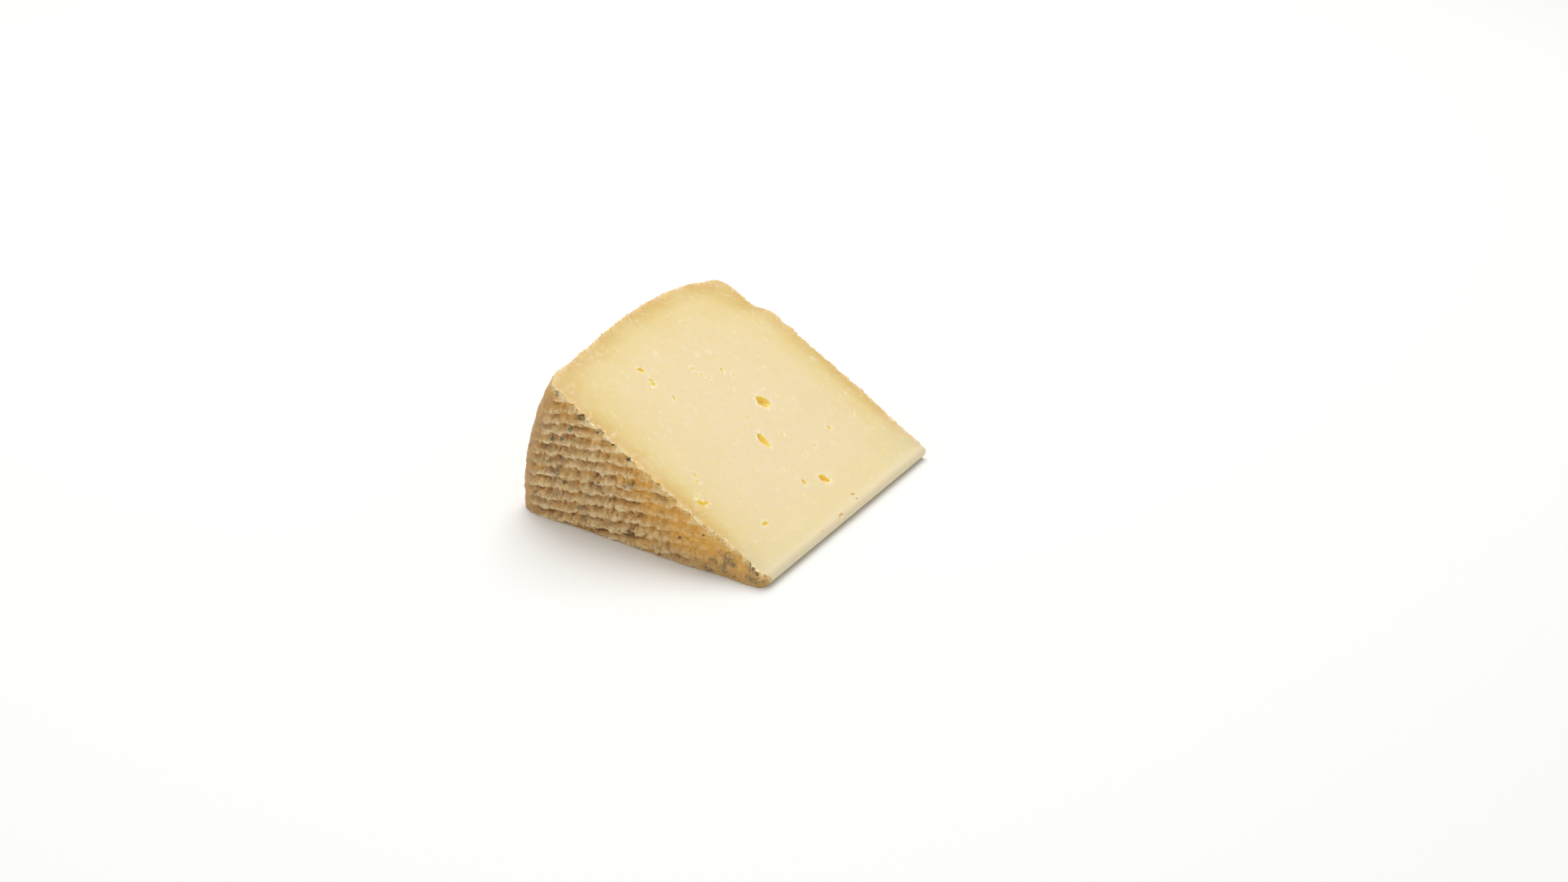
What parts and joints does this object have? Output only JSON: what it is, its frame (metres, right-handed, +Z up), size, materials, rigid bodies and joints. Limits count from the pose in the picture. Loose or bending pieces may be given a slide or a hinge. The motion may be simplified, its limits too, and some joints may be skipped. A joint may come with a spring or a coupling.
{
  "type": "cheese wedge",
  "caption": "Wedge of hard sheep's milk cheese lying on a cut face, with a pale holed paste and a tan ridged rind.",
  "frame": {"origin": "centre of the bottom of the bounding box, on the surface that the wedge lies on", "axes": "+Z up, +Y along the wheel's axis from the near ridged flat face to the far one, -X towards the wheel's outer side, +X towards the thin edge"},
  "size_m": [0.1051, 0.1053, 0.0547],
  "materials": {
    "cheese": "pale ivory yellow cheese paste, faintly oily, inside a dry tan and brown rind with whitish ridge crests and grey-green mould marks"
  },
  "bodies": {
    "root": {"cheese_wedge": "cheese"}
  },
  "joints": []
}
